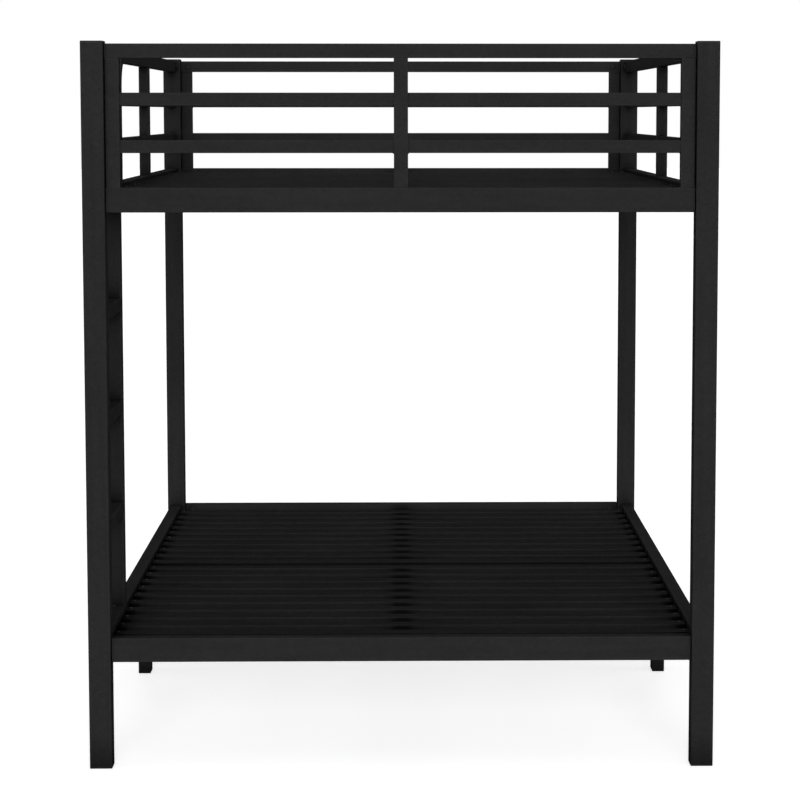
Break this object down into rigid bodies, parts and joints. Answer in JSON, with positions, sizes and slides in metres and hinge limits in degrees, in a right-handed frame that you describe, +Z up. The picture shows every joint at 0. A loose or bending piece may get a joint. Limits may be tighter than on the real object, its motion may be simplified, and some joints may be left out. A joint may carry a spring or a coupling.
{
  "type": "bunk bed",
  "caption": "Black metal bunk bed with square tube posts, barred guard panels round the upper bunk, slatted decks and an upright ladder at one side.",
  "frame": {"origin": "on the floor under the middle of the bed", "axes": "+X across the bed to the side away from the ladder, +Y along the bed to the end away from the ladder, +Z up"},
  "size_m": [1.43, 1.972, 1.656],
  "materials": {
    "post_paint": "matte black powder coat with a fine grain",
    "rail_paint": "matte black powder coat with a fine grain",
    "guard_paint": "matte black powder coat with a fine grain",
    "ladder_paint": "matte black powder coat, a little rubbed on the rungs",
    "slat_paint": "matte black powder coat with a fine grain",
    "bracket_paint": "matte black powder coat",
    "black_fasteners": "black oxide, half matte",
    "black_plastic": "moulded matte black"
  },
  "bodies": {
    "root": {"beam_bolts": "black_fasteners", "beam_hangers": "bracket_paint", "end_rail_bolts": "black_fasteners", "end_rail_stubs": "bracket_paint", "guard_bars_front": "guard_paint", "guard_bars_left": "guard_paint", "guard_bars_rear": "guard_paint", "guard_bars_right": "guard_paint", "guard_bolts": "black_fasteners", "guard_stubs": "bracket_paint", "guard_top_rail_front": "guard_paint", "guard_top_rail_left": "guard_paint", "guard_top_rail_rear": "guard_paint", "guard_top_rail_right": "guard_paint", "guard_uprights_front": "guard_paint", "guard_uprights_left": "guard_paint", "guard_uprights_rear": "guard_paint", "guard_uprights_right": "guard_paint", "ladder_bolts": "black_fasteners", "ladder_rungs": "ladder_paint", "ladder_sill": "ladder_paint", "ladder_stile": "ladder_paint", "ladder_stubs": "bracket_paint", "ladder_top_plate": "ladder_paint", "lower_centre_beams": "rail_paint", "lower_cross_beam": "rail_paint", "lower_end_rail_front": "rail_paint", "lower_end_rail_rear": "rail_paint", "lower_ledges_left": "bracket_paint", "lower_ledges_right": "bracket_paint", "lower_side_rail_left": "rail_paint", "lower_side_rail_right": "rail_paint", "lower_slat_screws": "black_fasteners", "lower_slats": "slat_paint", "middle_leg_bolts": "black_fasteners", "middle_leg_glides": "black_plastic", "middle_leg_left": "rail_paint", "middle_leg_plates": "bracket_paint", "middle_leg_right": "rail_paint", "post_caps": "black_plastic", "post_front_left": "post_paint", "post_front_right": "post_paint", "post_glides": "black_plastic", "post_rear_left": "post_paint", "post_rear_right": "post_paint", "side_rail_bolts": "black_fasteners", "side_rail_stubs": "bracket_paint", "upper_centre_beams": "rail_paint", "upper_cross_beam": "rail_paint", "upper_end_rail_front": "rail_paint", "upper_end_rail_rear": "rail_paint", "upper_ledges_left": "bracket_paint", "upper_ledges_right": "bracket_paint", "upper_side_rail_left": "rail_paint", "upper_side_rail_right": "rail_paint", "upper_slat_screws": "black_fasteners", "upper_slats": "slat_paint", "weld_nuts": "black_fasteners"}
  },
  "joints": []
}
